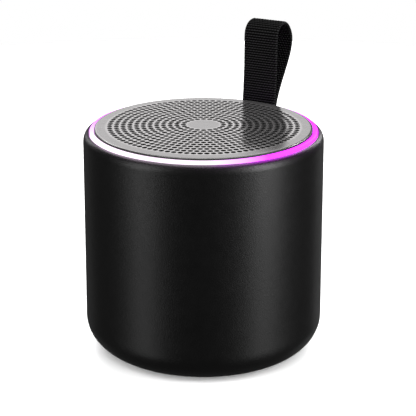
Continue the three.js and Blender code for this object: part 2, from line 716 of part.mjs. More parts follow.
place('control_panel', controlPanel(), blackPlastic);
for (const [name, z] of BUTTONS) {
  place(`${name}_button`, button(z), blackRubber);
  place(`${name}_switch`, switchHousing(z), steel);
  place(`${name}_switch_plunger`, switchPlunger(z), ivoryPlastic);
}
place('status_lens', statusLens(), clearAcrylic);
place('usb_port', usbPort(), steel);
place('usb_tongue', usbTongue(), blackPlastic);
place('main_board', mainBoard(), boardGreen);
place('bluetooth_module', bluetoothModule(), steel);
place('amplifier_chip', amplifierChip(), blackPlastic);
place('battery_connector', batteryConnector(), ivoryPlastic);
place('led_cable', ledCable(), amberFilm, [10.5, 0, 0]);
BOARD_SCREWS.forEach(([x, z], i) => {
  place(`board_screw_${i + 1}`, screw(4.6, 0.8, 1.5), zincPlate, [x, BOARD_BACK_Y - GAP, z], Math.PI / 2);
});

place('battery_cell', batteryCell(), cellWrap);
place('battery_cradle', batteryCradle(), blackPlastic);
place('battery_pad', batteryPad(), foam);
[-1, 1].forEach((side, i) => {
  const y = CELL_Y + side * CRADLE_SCREW_OFFSET;
  place(`cradle_screw_${i + 1}`, screw(5, 0.8, 1.6), zincPlate, [0, y, CRADLE_TAB_Z + 1.5 + GAP]);
});

place('driver_basket', driverBasket(), blackPaint);
place('driver_gasket', driverGasket(), foam);
place('driver_top_plate', topPlate(), zincPlate);
place('driver_magnet', ringMagnet(), ferrite);
place('driver_yoke', yoke(), zincPlate);
place('voice_coil', voiceCoil(), copper);
place('cone', cone(), paper);
place('dust_cap', dustCap(), paper);
place('surround', surround(), blackRubber);
place('spider', spider(), spiderCloth);
place('terminal_strip', terminalStrip(), boardGreen);
for (let i = 0; i < 4; i += 1) {
  const [x, y] = onCircle(FLANGE_SCREW_R, 45 + 90 * i);
  place(`driver_screw_${i + 1}`, screw(5.5, 0.85, 1.5), zincPlate, [x, y, FLANGE_TOP + GAP]);
}

// The leads come in pairs, one each side of the middle.
const LEAD_R = 0.6;
const BATTERY_LEAD = [[21, -1.5, 26.6], [17, 8, 24.8], [9, 17, 19], [2, 22.9, 16.2]];
const SPEAKER_LEAD = [[2.5, 21.4, 52.4], [5, 22.6, 48], [8.4, 24.6, 42], [9, 26.7, 36]];
const mirrored = (points) => points.map(([x, y, z]) => [-x, y, z]);
place('battery_lead_positive', wire(LEAD_R, BATTERY_LEAD), redWire);
place('battery_lead_negative', wire(LEAD_R, mirrored(BATTERY_LEAD)), blackWire);
place('speaker_lead_positive', wire(LEAD_R, SPEAKER_LEAD), redWire);
place('speaker_lead_negative', wire(LEAD_R, mirrored(SPEAKER_LEAD)), blackWire);

export default speaker;
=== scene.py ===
"""The looks of a small round portable speaker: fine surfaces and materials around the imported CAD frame.

Everything is in metres, in the CAD frame: +Z up, the strap and the control panel at +Y.
"""

import math

import bmesh
import bpy
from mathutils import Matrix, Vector
from mathutils.kdtree import KDTree
from mathutils.geometry import delaunay_2d_cdt


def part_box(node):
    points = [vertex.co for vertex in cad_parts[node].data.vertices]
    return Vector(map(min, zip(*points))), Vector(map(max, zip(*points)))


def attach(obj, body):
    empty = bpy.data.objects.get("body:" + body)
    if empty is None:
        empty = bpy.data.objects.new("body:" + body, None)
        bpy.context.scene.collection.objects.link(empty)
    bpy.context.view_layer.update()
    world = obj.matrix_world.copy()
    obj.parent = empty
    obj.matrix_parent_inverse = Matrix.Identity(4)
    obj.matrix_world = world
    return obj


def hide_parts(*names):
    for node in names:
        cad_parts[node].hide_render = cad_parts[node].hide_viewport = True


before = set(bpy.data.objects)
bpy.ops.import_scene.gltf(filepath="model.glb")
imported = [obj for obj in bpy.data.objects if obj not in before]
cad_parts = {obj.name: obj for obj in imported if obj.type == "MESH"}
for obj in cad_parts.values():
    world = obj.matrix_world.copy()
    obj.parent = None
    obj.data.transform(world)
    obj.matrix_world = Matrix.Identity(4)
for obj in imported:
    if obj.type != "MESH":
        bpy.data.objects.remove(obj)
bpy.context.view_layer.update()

MM = 0.001
HOUSING = "housing"

# ---------------- sizes, from the frame where it has them

SHELL_LOW, SHELL_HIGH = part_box("outer_shell")
PLATE_LOW, PLATE_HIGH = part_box("grille_plate")
RING_LOW, RING_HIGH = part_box("light_ring")
FOOT_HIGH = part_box("rubber_foot")[1]
PANEL_LOW, PANEL_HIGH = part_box("control_panel")
BAR_LOW, BAR_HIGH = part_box("strap_bar")
CLOTH_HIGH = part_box("grille_cloth")[1]

BODY_R = SHELL_HIGH.x
SHELL_BASE = SHELL_LOW.z
SHOULDER_TOP = SHELL_HIGH.z
SHOULDER = (1.85 * MM, 2.9 * MM)  # across, up
RIM_R = BODY_R - SHOULDER[0]
RIM_STEP_Z = SHOULDER_TOP - 1.85 * MM
WALL = 2.5 * MM
INNER_R = BODY_R - WALL
BASE_FILLET = (14.25 * MM, 11.3 * MM)  # across, up
FOOT_R = FOOT_HIGH.x

PLATE_R = PLATE_HIGH.x
PLATE_TOP = PLATE_HIGH.z
PLATE_T = 0.9 * MM
PLATE_CROWN = 0.58 * MM  # how far the dome rises from its rolled edge to its middle
PLATE_EDGE = (0.8 * MM, 0.4 * MM)  # across, down

HOLE_R = 0.82 * MM
HOLE_RINGS = 12
RING_PITCH = 2.085 * MM
FIRST_RING_R = 3 * RING_PITCH
HALF_RING_HOLES = (10.2, 3.3)  # holes in half of the first ring, and how many more in each ring after it
PATTERN_START = math.radians(-62.5)  # the rings of holes line up on this side of the plate
HOLE_LIP = 0.03 * MM
STEEP = 0.9  # a plate face whose normal's Z is under this is a hole's wall or the rim, and gets the painted shade

BAR_R = (BAR_HIGH.z - BAR_LOW.z) / 2
BAR = Vector((0, (BAR_LOW.y + BAR_HIGH.y) / 2, (BAR_LOW.z + BAR_HIGH.z) / 2))
POCKET_W = 14.0 * MM
POCKET_H = 12.0 * MM
POCKET_FLOOR_Y = 33.0 * MM
POCKET_WALL = 1.5 * MM
POCKET_CORNER = 1.6 * MM
STRAP_W = 12.0 * MM
WEBBING_T = 1.1 * MM
RIB_PITCH = 0.82  # this and the weave's other sizes are in millimetres
THREAD_PITCH = 0.96
RIB_DEPTH = 0.2
WEAVE_DEPTH = 0.05
EDGE_ROUND = 0.5
GROOVE_DEPTH = 0.09
GROOVE_INSET = 0.95
GROOVE_SPREAD = 0.16
RIB_STEPS = 8  # mesh rows to a rib
WEBBING_COLUMNS = 50

PANEL_W = 12.0 * MM
PANEL_R = BODY_R - 0.3 * MM
PANEL_FLANGE = 1.5 * MM
PANEL_BOTTOM = PANEL_LOW.z + PANEL_FLANGE
PANEL_TOP = PANEL_HIGH.z - PANEL_FLANGE
PANEL_MIDDLE = (PANEL_BOTTOM + PANEL_TOP) / 2
PANEL_BACK = 35.2 * MM  # from the can's axis
PANEL_GAP = 0.15 * MM
BUTTON_HOLE_R = 2.8 * MM
BUTTON_R = 2.6 * MM
BUTTON_BACK_Y = 35.85 * MM
SYMBOL_LEVELS = (-0.14 * MM, 0.02 * MM)  # a symbol's back and front, from the button's face

ROUND = 256  # segments round the large turned pieces
WAVE_PERIOD = math.pi / 10  # of a wave texture of scale 1


# ---------------- mesh helpers


def linked_object(name, data):
    obj = bpy.data.objects.new(name, data)
    bpy.context.scene.collection.objects.link(obj)
    return obj


def make_object(name, verts, faces, material, sharp=35):
    """A mesh object with merged points, outward faces and edges sharp from an angle in degrees."""
    mesh = bpy.data.meshes.new(name)
    mesh.from_pydata([tuple(v) for v in verts], [], faces)
    bm = bmesh.new()
    bm.from_mesh(mesh)
    bmesh.ops.remove_doubles(bm, verts=bm.verts, dist=1e-7)
    bmesh.ops.recalc_face_normals(bm, faces=bm.faces)
    bm.to_mesh(mesh)
    bm.free()
    mesh.shade_smooth()
    mesh.set_sharp_from_angle(angle=math.radians(sharp))
    mesh.materials.append(material)
    return linked_object(name, mesh)


def finish_piece(obj, body, slot, *nodes):
    """Puts a piece on its body, in place of the CAD nodes that it stands for. Its slot argument is not used.
    """
    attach(obj, body)
    if nodes:
        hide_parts(*nodes)
    return obj


def arc(centre, radii, start, end, steps):
    """Points of an elliptical arc, angles in degrees, both ends included."""
    points = []
    for i in range(steps + 1):
        angle = math.radians(start + (end - start) * i / steps)
        points.append((centre[0] + radii[0] * math.cos(angle), centre[1] + radii[1] * math.sin(angle)))
    return points


def turned(profile, sides=ROUND, closed=True):
    """Vertices and faces of a profile of (radius, z) turned about Z. An open profile ends on the axis."""
    verts, faces = [], []
    rows = []
    for r, z in profile:
        if r < 1e-9:
            rows.append([len(verts)] * sides)
            verts.append((0, 0, z))
            continue
        rows.append(list(range(len(verts), len(verts) + sides)))
        for i in range(sides):
            angle = 2 * math.pi * i / sides
            verts.append((r * math.cos(angle), r * math.sin(angle), z))
    pairs = list(zip(rows, rows[1:]))
    if closed:
        pairs.append((rows[-1], rows[0]))
    for low, high in pairs:
        for i in range(sides):
            j = (i + 1) % sides
            corners = list(dict.fromkeys([low[i], low[j], high[j], high[i]]))
            if len(corners) > 2:
                faces.append(corners)
    return verts, faces


def along(verts, origin, direction):
    """Moves vertices made about +Z so that +Z points along a direction from an origin."""
    turn = Vector((0, 0, 1)).rotation_difference(Vector(direction))
    return [turn @ Vector(v) + Vector(origin) for v in verts]


def merged(*parts):
    """Joins lists of (verts, faces) into one."""
    verts, faces = [], []
    for more_verts, more_faces in parts:
        base = len(verts)
        verts += [tuple(v) for v in more_verts]
        faces += [[base + i for i in face] for face in more_faces]
    return verts, faces


def stacked(loops, cap=True):
    """Vertices and faces of loops joined one after another, with flat ends."""
    verts = [tuple(p) for loop in loops for p in loop]
    size = len(loops[0])
    faces = []
    for k in range(len(loops) - 1):
        for i in range(size):
            j = (i + 1) % size
            faces.append([k * size + i, k * size + j, (k + 1) * size + j, (k + 1) * size + i])
    if cap:
        faces.append(list(range(size))[::-1])
        faces.append([(len(loops) - 1) * size + i for i in range(size)])
    return verts, faces


def inside(point, loop):
    """True if a 2-D point is inside a loop."""
    x, y = point
    odd = False
    for (x0, y0), (x1, y1) in zip(loop, loop[1:] + loop[:1]):
        if (y0 > y) != (y1 > y) and x < (x1 - x0) * (y - y0) / (y1 - y0) + x0:
            odd = not odd
    return odd


def plate_with_holes(outline, outline_steps, holes, hole_steps, place, keep, extra=()):
    """A closed plate. outline(grow) and each hole(grow) give a loop of 2-D points, larger by grow.
    The steps are (grow, depth) from the front face to the back face, and place maps (u, v, depth) to 3-D.
    keep(point) says if a 2-D point of the front face is on material, and extra adds points inside it."""
    edges_2d = [(outline, outline_steps)] + [(hole, hole_steps) for hole in holes]
    flat, constraints = [], []
    for loop, steps in edges_2d:
        ring = loop(steps[0][0])
        base = len(flat)
        flat += [Vector(p) for p in ring]
        constraints += [(base + i, base + (i + 1) % len(ring)) for i in range(len(ring))]
    flat += [Vector(p) for p in extra]
    result = delaunay_2d_cdt(flat, constraints, [], 0, 1e-9)
    if len(result[0]) != len(flat):
        raise RuntimeError("the plate's outline or holes cross each other")
    order = [origins[0] for origins in result[3]]
    triangles = []
    for triangle in result[2]:
        middle = sum((result[0][i] for i in triangle), Vector((0, 0))) / 3
        if keep(middle):
            triangles.append([order[i] for i in triangle])

    front_depth, back_depth = outline_steps[0][1], outline_steps[-1][1]
    verts = [place(u, v, front_depth) for u, v in flat]
    faces = list(triangles)
    back = {}
    base = 0
    for loop, steps in edges_2d:
        size = len(loop(steps[0][0]))
        upper = list(range(base, base + size))
        for grow, depth in steps[1:]:
            lower = list(range(len(verts), len(verts) + size))
            verts += [place(u, v, depth) for u, v in loop(grow)]
            for i in range(size):
                j = (i + 1) % size
                faces.append([upper[i], upper[j], lower[j], lower[i]])
            upper = lower
        for i in range(size):
            back[base + i] = upper[i]
        base += size
    for i in range(base, len(flat)):
        back[i] = len(verts)
        verts.append(place(flat[i][0], flat[i][1], back_depth))
    faces += [[back[i] for i in reversed(triangle)] for triangle in triangles]
    return verts, faces


def circle(centre, radius, sides):
    """A loop maker for a round hole or outline."""

    def loop(grow):
        r = radius + grow
        angles = [2 * math.pi * i / sides for i in range(sides)]
        return [(centre[0] + r * math.cos(a), centre[1] + r * math.sin(a)) for a in angles]

    return loop


def round_rectangle(centre, width, height, radius, steps=8):
    """A loop maker for a rectangle with rounded corners. It grows evenly on all sides."""

    def loop(grow):
        r = radius + grow
        half_w, half_h = width / 2 - radius, height / 2 - radius
        points = []
        for quarter, (sx, sy) in enumerate([(1, 1), (-1, 1), (-1, -1), (1, -1)]):
            for i in range(steps + 1):
                angle = math.pi / 2 * (quarter + i / steps)
                x = centre[0] + sx * half_w + r * math.cos(angle)
                y = centre[1] + sy * half_h + r * math.sin(angle)
                points.append((x, y))
        return dedupe(points)

    return loop


def dedupe(points):
    """Drops points that repeat the one before."""
    kept = []
    for p in points:
        if not kept or math.dist(p, kept[-1]) > 1e-7:
            kept.append(p)
    if math.dist(kept[0], kept[-1]) < 1e-7:
        kept.pop()
    return kept


def on_body(radius):
    """Maps (u, z, depth) to the rear of a cylinder about Z: u is the width along the surface."""

    def place(u, z, depth):
        r = radius - depth
        return (r * math.sin(u / radius), r * math.cos(u / radius), z)

    return place


def fillet_steps(radius, steps=4):
    """(grow, depth) steps of a rounded mouth that ends straight at the given radius below the face."""
    made = []
    for i in range(steps + 1):
        angle = math.pi / 2 * i / steps
        made.append((radius * (1 - math.sin(angle)), radius * (1 - math.cos(angle))))
    return made


def boolean(obj, cutter, operation):
    """Joins or cuts a piece with another, which is then removed."""
    modifier = obj.modifiers.new("boolean", "BOOLEAN")
    modifier.operation = operation
    modifier.solver = "EXACT"
    modifier.object = cutter
    bpy.context.view_layer.update()
    evaluated = obj.evaluated_get(bpy.context.evaluated_depsgraph_get())
    mesh = bpy.data.meshes.new_from_object(evaluated)
    obj.modifiers.clear()
    obj.data = mesh
    bpy.data.objects.remove(cutter)


# ---------------- materials


def new_material(name):
    material = bpy.data.materials.new(name)
    material.use_nodes = True
    tree = material.node_tree
    return material, tree, tree.nodes["Principled BSDF"]


def link(output, socket):
    socket.id_data.links.new(output, socket)


def node(tree, kind, **inputs):
    """A new node with its inputs set. An underscore in a name stands for a space."""
    made = tree.nodes.new(kind)
    for key, value in inputs.items():
        made.inputs[key.replace("_", " ")].default_value = value
    return made


def point_place(tree):
    """The place of a point in metres, in the piece's own frame."""
    return tree.nodes.new("ShaderNodeTexCoord").outputs["Object"]


def scaled_place(tree, scale):
    mapping = node(tree, "ShaderNodeMapping", Scale=scale)
    link(point_place(tree), mapping.inputs["Vector"])
    return mapping.outputs["Vector"]


def noise(tree, scale, detail=3.0, stretch=(1, 1, 1)):
    """The factor of a noise texture, in cycles per metre."""
    texture = node(tree, "ShaderNodeTexNoise", Scale=scale, Detail=detail)
    link(scaled_place(tree, stretch), texture.inputs["Vector"])
    return texture.outputs["Fac"]


def ramp(tree, factor, stops):
    """A colour ramp over (position, colour) stops."""
    made = tree.nodes.new("ShaderNodeValToRGB")
    band = made.color_ramp
    while len(band.elements) < len(stops):
        band.elements.new(0.5)
    for element, (position, colour) in zip(band.elements, stops):
        element.position = position
        element.color = (*colour, 1)
    link(factor, made.inputs["Fac"])
    return made.outputs["Color"]


def spread(tree, factor, low, high):
    """Maps a 0 to 1 factor to low to high."""
    made = node(tree, "ShaderNodeMapRange", To_Min=low, To_Max=high)
    link(factor, made.inputs["Value"])
    return made.outputs["Result"]


def times(tree, first, second):
    """The product of two outputs."""
    made = tree.nodes.new("ShaderNodeMath")
    made.operation = "MULTIPLY"
    link(first, made.inputs[0])
    link(second, made.inputs[1])
    return made.outputs["Value"]


def bump(tree, shader, height, distance):
    made = node(tree, "ShaderNodeBump", Distance=distance, Strength=1.0)
    link(height, made.inputs["Height"])
    link(made.outputs["Normal"], shader.inputs["Normal"])


def grained(name, dark, light, roughness, grain, grain_depth, scatter=40, **shader_values):
    """A surface with a slow colour variation, a fine grain in its bump and an uneven roughness."""
    material, tree, shader = new_material(name)
    colour = ramp(tree, noise(tree, scatter), [(0.3, dark), (0.7, light)])
    link(colour, shader.inputs["Base Color"])
    rough = spread(tree, noise(tree, scatter * 6), roughness[0], roughness[1])
    link(rough, shader.inputs["Roughness"])
    bump(tree, shader, noise(tree, grain), grain_depth)
    for key, value in shader_values.items():
        shader.inputs[key.replace("_", " ")].default_value = value
    return material


def grey(value):
    return (value, value, value)


def body_paint():
    return grained("body_paint", grey(0.0022), grey(0.0032), (0.33, 0.43), 3200, 0.05 * MM, scatter=60)


def soft_rubber():
    return grained("soft_rubber", grey(0.009), grey(0.014), (0.6, 0.75), 3500, 0.02 * MM)


def black_moulding():
    return grained("black_moulding", grey(0.008), grey(0.012), (0.45, 0.6), 2600, 0.02 * MM)


def painted_hole_highlight(tree):
    """A painted highlight in the plate's colour: the metal between the holes is made brighter than the plain
    parts, in place of the glints on the holes' edges.
    """
    length = tree.nodes.new("ShaderNodeVectorMath")
    length.operation = "LENGTH"
    link(scaled_place(tree, (1 / PLATE_R, 1 / PLATE_R, 0)), length.inputs[0])
    inner = (FIRST_RING_R - MM) / PLATE_R
    outer = (FIRST_RING_R + RING_PITCH * (HOLE_RINGS - 1) + MM) / PLATE_R
    plain, bright = grey(0.92), grey(1.35)
    stops = [(inner - 0.02, plain), (inner, bright), (outer, bright), (outer + 0.02, plain)]
    return ramp(tree, length.outputs["Value"], stops)


def brushed_aluminium():
    """Satin aluminium with fine straight brush lines along X."""
    material, tree, shader = new_material("brushed_aluminium")
    lines = noise(tree, 900, 4, stretch=(0.06, 1, 1))
    tint = ramp(tree, lines, [(0.3, (0.58, 0.56, 0.56)), (0.7, (0.65, 0.63, 0.635))])
    tinted = tree.nodes.new("ShaderNodeVectorMath")
    tinted.operation = "MULTIPLY"
    link(tint, tinted.inputs[0])
    # Painted highlight: the perforated zone's metal is coloured brighter than the plain border and middle.
    link(painted_hole_highlight(tree), tinted.inputs[1])
    link(tinted.outputs["Vector"], shader.inputs["Base Color"])
    rough = spread(tree, noise(tree, 260, 3, stretch=(0.1, 1, 1)), 0.13, 0.18)
    link(rough, shader.inputs["Roughness"])
    bump(tree, shader, noise(tree, 2600, 3, stretch=(0.04, 1, 1)), 0.0015 * MM)
    shader.inputs["Metallic"].default_value = 0.85
    return material


def speaker_cloth():
    dark, light = grey(0.006), grey(0.012)
    return grained("speaker_cloth", dark, light, (0.85, 0.95), 2500, 0.12 * MM, Sheen_Weight=0.2)


def waves(tree, vector, direction, **inputs):
    """Even stripes with a peak at the origin. Direction holds the stripes per unit in X and Y."""
    turn = node(tree, "ShaderNodeMapping", Rotation=(0, 0, -math.atan2(direction[1], direction[0])))
    link(vector, turn.inputs["Vector"])
    scale = WAVE_PERIOD * math.hypot(*direction)
    made = node(tree, "ShaderNodeTexWave", Scale=scale, Phase_Offset=math.pi, **inputs)
    link(turn.outputs["Vector"], made.inputs["Vector"])
    return made.outputs["Fac"]


def webbing():
    """Black woven nylon. Its ribs and threads are real, and their tops catch more light than the gaps; on
    top of that its colour is painted lighter on their tops and darker in the gaps, a painted highlight and
    painted shade over the yarn's uneven tone.
    """
    material, tree, shader = new_material("webbing")
    weave = tree.nodes.new("ShaderNodeUVMap")
    weave.uv_map = "weave"
    threads = waves(tree, weave.outputs["UV"], (1 / THREAD_PITCH, 0.5 / RIB_PITCH), Distortion=0.5)
    ribs = waves(tree, weave.outputs["UV"], (0, 1 / RIB_PITCH))
    fuzz = noise(tree, 1500, 4)
    yarn = times(tree, threads, spread(tree, fuzz, 0.2, 1.6))
    # Painted highlight and painted shade: the colour rises with the rib's and thread's height, so tops are
    # lighter and gaps darker.
    lit = times(tree, spread(tree, yarn, 0.7, 1.0), ribs)
    shades = [(0.2, grey(0.0004)), (0.5, grey(0.007)), (0.9, grey(0.055))]
    link(ramp(tree, lit, shades), shader.inputs["Base Color"])
    link(spread(tree, fuzz, 0.5, 0.75), shader.inputs["Roughness"])
    bump(tree, shader, yarn, 0.08 * MM)
    shader.inputs["Specular IOR Level"].default_value = 0.07
    return material


# The light ring's colours as red, green and blue glow (1 is white paper), in round numbers.
PINK_WHITE = (1.5, 1.2, 1.5)
MAGENTA = (3.0, 0.1, 4.0)
VIOLET = (1.5, 0.1, 2.0)
DIM_VIOLET = (0.3, 0.0, 0.6)
RING_GLOW = [  # angle from +X in degrees, colour
    (-180, VIOLET),
    (-135, PINK_WHITE),
    (-60, PINK_WHITE),
    (-30, MAGENTA),
    (30, MAGENTA),
    (90, DIM_VIOLET),  # the strap's pocket breaks the row of lights here
    (180, VIOLET),
]
RING_PEAK = 5.0


def ring_glow(degrees):
    """The light ring's glow at an angle from +X."""
    for (start, first), (end, last) in zip(RING_GLOW, RING_GLOW[1:]):
        if degrees <= end:
            share = (degrees - start) / (end - start)
            return [a + (b - a) * share for a, b in zip(first, last)]


def lit_acrylic():
    """Frosted acrylic that glows in a colour set by the angle round the body."""
    material, tree, shader = new_material("lit_acrylic")
    parts = tree.nodes.new("ShaderNodeSeparateXYZ")
    link(point_place(tree), parts.inputs["Vector"])
    angle = tree.nodes.new("ShaderNodeMath")
    angle.operation = "ARCTAN2"
    link(parts.outputs["Y"], angle.inputs[0])
    link(parts.outputs["X"], angle.inputs[1])
    turn = node(tree, "ShaderNodeMapRange", From_Min=-math.pi, From_Max=math.pi)
    link(angle.outputs["Value"], turn.inputs["Value"])
    stops = [((degrees + 180) / 360, [part / RING_PEAK for part in glow]) for degrees, glow in RING_GLOW]
    link(ramp(tree, turn.outputs["Result"], stops), shader.inputs["Emission Color"])
    mottle = spread(tree, noise(tree, 160, 2), 0.85 * RING_PEAK, 1.15 * RING_PEAK)
    link(mottle, shader.inputs["Emission Strength"])
    frost = ramp(tree, noise(tree, 300), [(0, (0.01, 0.008, 0.01)), (1, (0.02, 0.016, 0.02))])
    link(frost, shader.inputs["Base Color"])
    shader.inputs["Roughness"].default_value = 0.35
    shader.inputs["Specular IOR Level"].default_value = 0.03
    return material


def metal(name, dark, light, roughness, grain=900, depth=0.006 * MM):
    return grained(name, dark, light, roughness, grain, depth, Metallic=1)


def circuit_board():
    """Green solder resist over slightly raised tracks."""
    material, tree, shader = new_material("circuit_board")
    tracks = node(tree, "ShaderNodeTexBrick", Scale=260.0, Mortar_Size=0.035)
    link(point_place(tree), tracks.inputs["Vector"])
    colour = ramp(tree, tracks.outputs["Fac"], [(0, (0.005, 0.07, 0.025)), (1, (0.012, 0.16, 0.06))])
    link(colour, shader.inputs["Base Color"])
    link(spread(tree, noise(tree, 400), 0.25, 0.4), shader.inputs["Roughness"])
    bump(tree, shader, tracks.outputs["Fac"], 0.03 * MM)
    return material


def windings(name, dark, light, pitch, depth, metallic=0.0):
    """Fine turns or corrugations stacked along Z, for the coil and the spider."""
    material, tree, shader = new_material(name)
    turns = node(tree, "ShaderNodeTexWave", Scale=WAVE_PERIOD / pitch, Distortion=0.3)
    turns.bands_direction = "Z"
    link(point_place(tree), turns.inputs["Vector"])
    colour = ramp(tree, turns.outputs["Fac"], [(0.1, dark), (0.8, light)])
    link(colour, shader.inputs["Base Color"])
    link(spread(tree, noise(tree, 500), 0.35, 0.55), shader.inputs["Roughness"])
    bump(tree, shader, turns.outputs["Fac"], depth)
    shader.inputs["Metallic"].default_value = metallic
    return material


# ---------------- housing


def shell_profile():
    across, up = BASE_FILLET
    base = (BODY_R - across, SHELL_BASE + up)
    recess_r = FOOT_R + 0.4 * MM
    recess_z = FOOT_HIGH.z + 0.1 * MM
    return [
        (0, recess_z),
        (recess_r, recess_z),
        (recess_r, SHELL_BASE + 0.25 * MM),
        (recess_r + 0.25 * MM, SHELL_BASE),
        *arc(base, (across, up), -90, 0, 28),
        *arc((RIM_R, SHOULDER_TOP - SHOULDER[1]), SHOULDER, 0, 82, 14),
        *arc((RIM_R + 0.22 * MM, SHOULDER_TOP - 0.2 * MM), (0.2 * MM, 0.2 * MM), 90, 180, 4),
        (RIM_R, RIM_STEP_Z),
        (INNER_R, RIM_STEP_Z),
        *arc(base, (across - WALL, up - WALL), 0, -90, 12),
        (0, SHELL_BASE + WALL),
    ]


def outer_shell(material):
    shell = make_object("can", *turned(shell_profile(), closed=False), material)
    boss_w = POCKET_W / 2 + POCKET_WALL
    boss_y = POCKET_FLOOR_Y - POCKET_WALL
    boss_h = POCKET_H / 2 + POCKET_WALL
    corners = [(-boss_w, boss_y), (boss_w, boss_y), (boss_w, INNER_R + MM), (-boss_w, INNER_R + MM)]
    boss = stacked([[(x, y, BAR.z + side * boss_h) for x, y in corners] for side in (-1, 1)])
    boolean(shell, make_object("boss", *boss, material), "UNION")

    pocket_mouth = round_rectangle((0, BAR.z), POCKET_W, POCKET_H, POCKET_CORNER)
    pocket = mouth_cutter(pocket_mouth, 0.5 * MM, POCKET_FLOOR_Y)
    boolean(shell, make_object("pocket", *pocket, material), "DIFFERENCE")
    panel = round_rectangle((0, PANEL_MIDDLE), PANEL_W, PANEL_TOP - PANEL_BOTTOM, PANEL_W / 2, 14)
    window = mouth_cutter(lambda grow: panel(grow + PANEL_GAP), 0.35 * MM, INNER_R - 2 * MM)
    boolean(shell, make_object("window", *window, material), "DIFFERENCE")
    shell.data.shade_smooth()
    shell.data.set_sharp_from_angle(angle=math.radians(32))
    return finish_piece(shell, HOUSING, "body_paint", "outer_shell")


def mouth_cutter(outline, fillet, floor_y):
    """A cutter for an opening in the can's rear wall, with a rounded mouth and a flat floor."""
    place = on_body(BODY_R)
    loops = [[place(u, v, -MM) for u, v in outline(fillet)]]
    loops += [[place(u, v, depth) for u, v in outline(grow)] for grow, depth in fillet_steps(fillet)]
    loops.append([(place(u, v, 0)[0], floor_y, v) for u, v in outline(0)])
    return stacked(loops)


def rubber_foot(material):
    groove_r = FOOT_R - 3 * MM
    profile = [
        (0, 0),
        (groove_r - 0.5 * MM, 0),
        (groove_r - 0.3 * MM, 0.35 * MM),
        (groove_r + 0.3 * MM, 0.35 * MM),
        (groove_r + 0.5 * MM, 0),
        *arc((FOOT_R - 0.5 * MM, 0.5 * MM), (0.5 * MM, 0.5 * MM), -90, 0, 5),
        (FOOT_R, FOOT_HIGH.z),
        (0, FOOT_HIGH.z),
    ]
    foot = make_object("foot", *turned(profile, closed=False), material)
    return finish_piece(foot, HOUSING, "foot_rubber", "rubber_foot")


def light_ring(material):
    """The lit band between the grille plate and the can, with a low wall under its soft convex face."""
    inner = PLATE_R + 0.35 * MM
    outer = RIM_R - 0.2 * MM
    leg_r = (PLATE_R - 0.65 * MM, INNER_R - 0.15 * MM)
    leg_low = RING_LOW.z
    leg_top = leg_low + 0.8 * MM
    wall_top = SHOULDER_TOP + 0.3 * MM
    crown = RING_HIGH.z - 0.15 * MM
    face = arc((inner, wall_top), (outer - inner, crown - wall_top), 0, 90, 10)
    profile = [
        (leg_r[0], leg_low),
        (leg_r[1], leg_low),
        (leg_r[1], RIM_STEP_Z + 0.1 * MM),
        (outer, RIM_STEP_Z + 0.1 * MM),
        *face,
        (inner, leg_top),
        (leg_r[0], leg_top),
    ]
    ring = make_object("lit_band", *turned(profile), material)
    return finish_piece(ring, HOUSING, "lit_acrylic", "light_ring")


# ---------------- grille


def hole_angles(ring):
    """The holes' angles in one ring. Alternate rings are staggered by half a hole."""
    first, more = HALF_RING_HOLES
    count = 2 * round(first + more * ring)
    return [PATTERN_START + 2 * math.pi * (i + 0.5 * (ring % 2)) / count for i in range(count)]


def grille_plate(material, dark):
    """The domed plate. Every hole goes right through. The holes' walls and the plate's rim are given a dark
    material, painted shade for the shade inside the holes that also keeps the rim from shining.
    """
    centres = []
    for ring in range(HOLE_RINGS):
        r = FIRST_RING_R + RING_PITCH * ring
        centres.append([Vector((r * math.cos(a), r * math.sin(a))) for a in hole_angles(ring)])
    holes = [circle(centre, HOLE_R, 16) for ring in centres for centre in ring]

    across, down = PLATE_EDGE
    flat_r = PLATE_R - across
    skirt = PLATE_TOP - PLATE_CROWN - PLATE_LOW.z
    under = PLATE_R - MM - flat_r
    turns = [math.pi / 2 * i / 8 for i in range(9)]
    edge = [(across * math.sin(turn), down * (1 - math.cos(turn))) for turn in turns]
    edge += [(across, skirt - 0.1 * MM), (across - 0.1 * MM, skirt), (under, skirt), (under, PLATE_T)]
    hole_steps = [(HOLE_LIP, 0), (0, HOLE_LIP), (0, PLATE_T)]

    def place(u, v, depth):
        r = min(math.hypot(u, v), flat_r)
        return (u, v, PLATE_TOP - PLATE_CROWN * (r / flat_r) ** 2 - depth)

    def keep(point):
        ring = round((point.length - FIRST_RING_R) / RING_PITCH)
        if not 0 <= ring < HOLE_RINGS:
            return True
        return min((point - centre).length for centre in centres[ring]) > HOLE_R

    dome = []  # points that carry the dome across the plain middle and border
    for radius, sides in ((1.2, 19), (2.6, 27), (4.0, 36), (30.6, 160), (31.6, 160), (32.5, 160)):
        dome += circle((0, 0), radius * MM, sides)(0)
    dome.append((0, 0))
    plate = plate_with_holes(circle((0, 0), flat_r, ROUND), edge, holes, hole_steps, place, keep, dome)
    obj = make_object("perforated_plate", *plate, material, sharp=30)
    # Painted shade: the steep faces, which are the holes' walls and the rim, get the dark material.
    obj.data.materials.append(dark)
    for face in obj.data.polygons:
        if abs(face.normal.z) < STEEP:
            face.material_index = 1
    return finish_piece(obj, HOUSING, "grille_aluminium", "grille_plate")


def grille_cloth(material):
    """A thin disc of cloth that sinks a little between the plate's rings."""
    radius, top = CLOTH_HIGH.x, CLOTH_HIGH.z
    sink = 0.06 * MM
    thickness = 0.3 * MM
    rings = 60
    profile = []
    for i in range(rings + 1):
        r = radius * i / rings
        profile.append((r, top - sink * (0.5 - 0.5 * math.cos(2 * math.pi * r / RING_PITCH))))
    profile += [(r, top - thickness) for r in (radius, radius / 2, 0)]
    cloth = make_object("dust_cloth", *turned(profile, 128, closed=False), material)
    finish_piece(cloth, HOUSING, "grille_cloth", "grille_cloth")
    return cloth


# ---------------- strap

